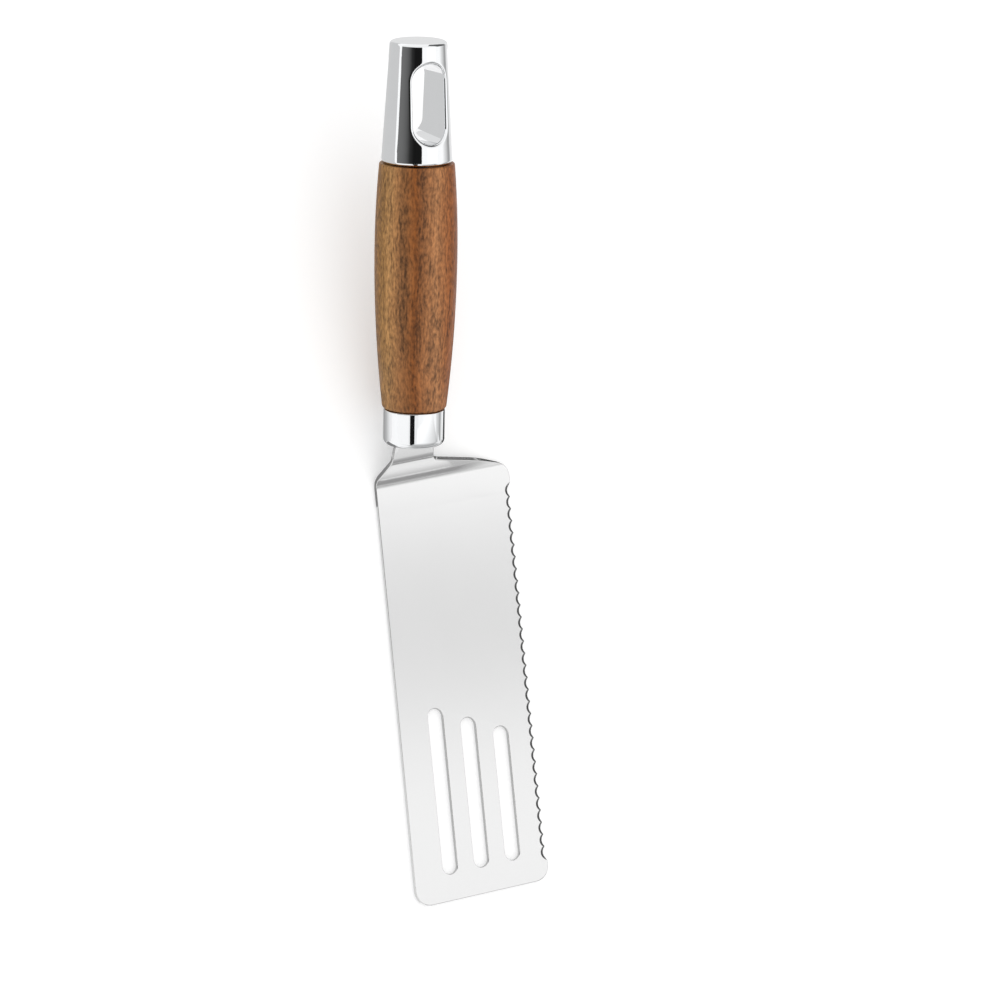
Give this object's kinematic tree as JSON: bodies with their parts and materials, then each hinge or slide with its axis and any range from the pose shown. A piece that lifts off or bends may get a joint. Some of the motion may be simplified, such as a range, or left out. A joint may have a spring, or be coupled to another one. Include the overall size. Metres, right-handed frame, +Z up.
{
  "type": "griddle spatula",
  "caption": "Slotted steel griddle spatula: flat blade with a serrated edge and slanted front, cranked neck, turned wood handle, and a tapered chromed end with a hang slot.",
  "frame": {"origin": "centre of the blade's flat underside, halfway along its spine and halfway across", "axes": "+Z up out of the blade's top face, +Y from the blade towards the handle, +X towards the serrated edge"},
  "size_m": [0.0502, 0.275, 0.0543],
  "materials": {
    "blade_steel": "satin stainless sheet",
    "polished_metal": "mirror-polished stainless steel",
    "grip_wood": "red-brown hardwood, oiled satin",
    "plain_steel": "plain turned steel",
    "chromed_metal": "mirror chrome"
  },
  "bodies": {
    "root": {"blade": "blade_steel", "ferrule": "polished_metal", "wood_grip": "grip_wood", "core_rod": "plain_steel", "tang_pin": "plain_steel", "clamp_washer": "plain_steel", "clamp_nut": "plain_steel", "end_cap": "chromed_metal"}
  },
  "joints": []
}
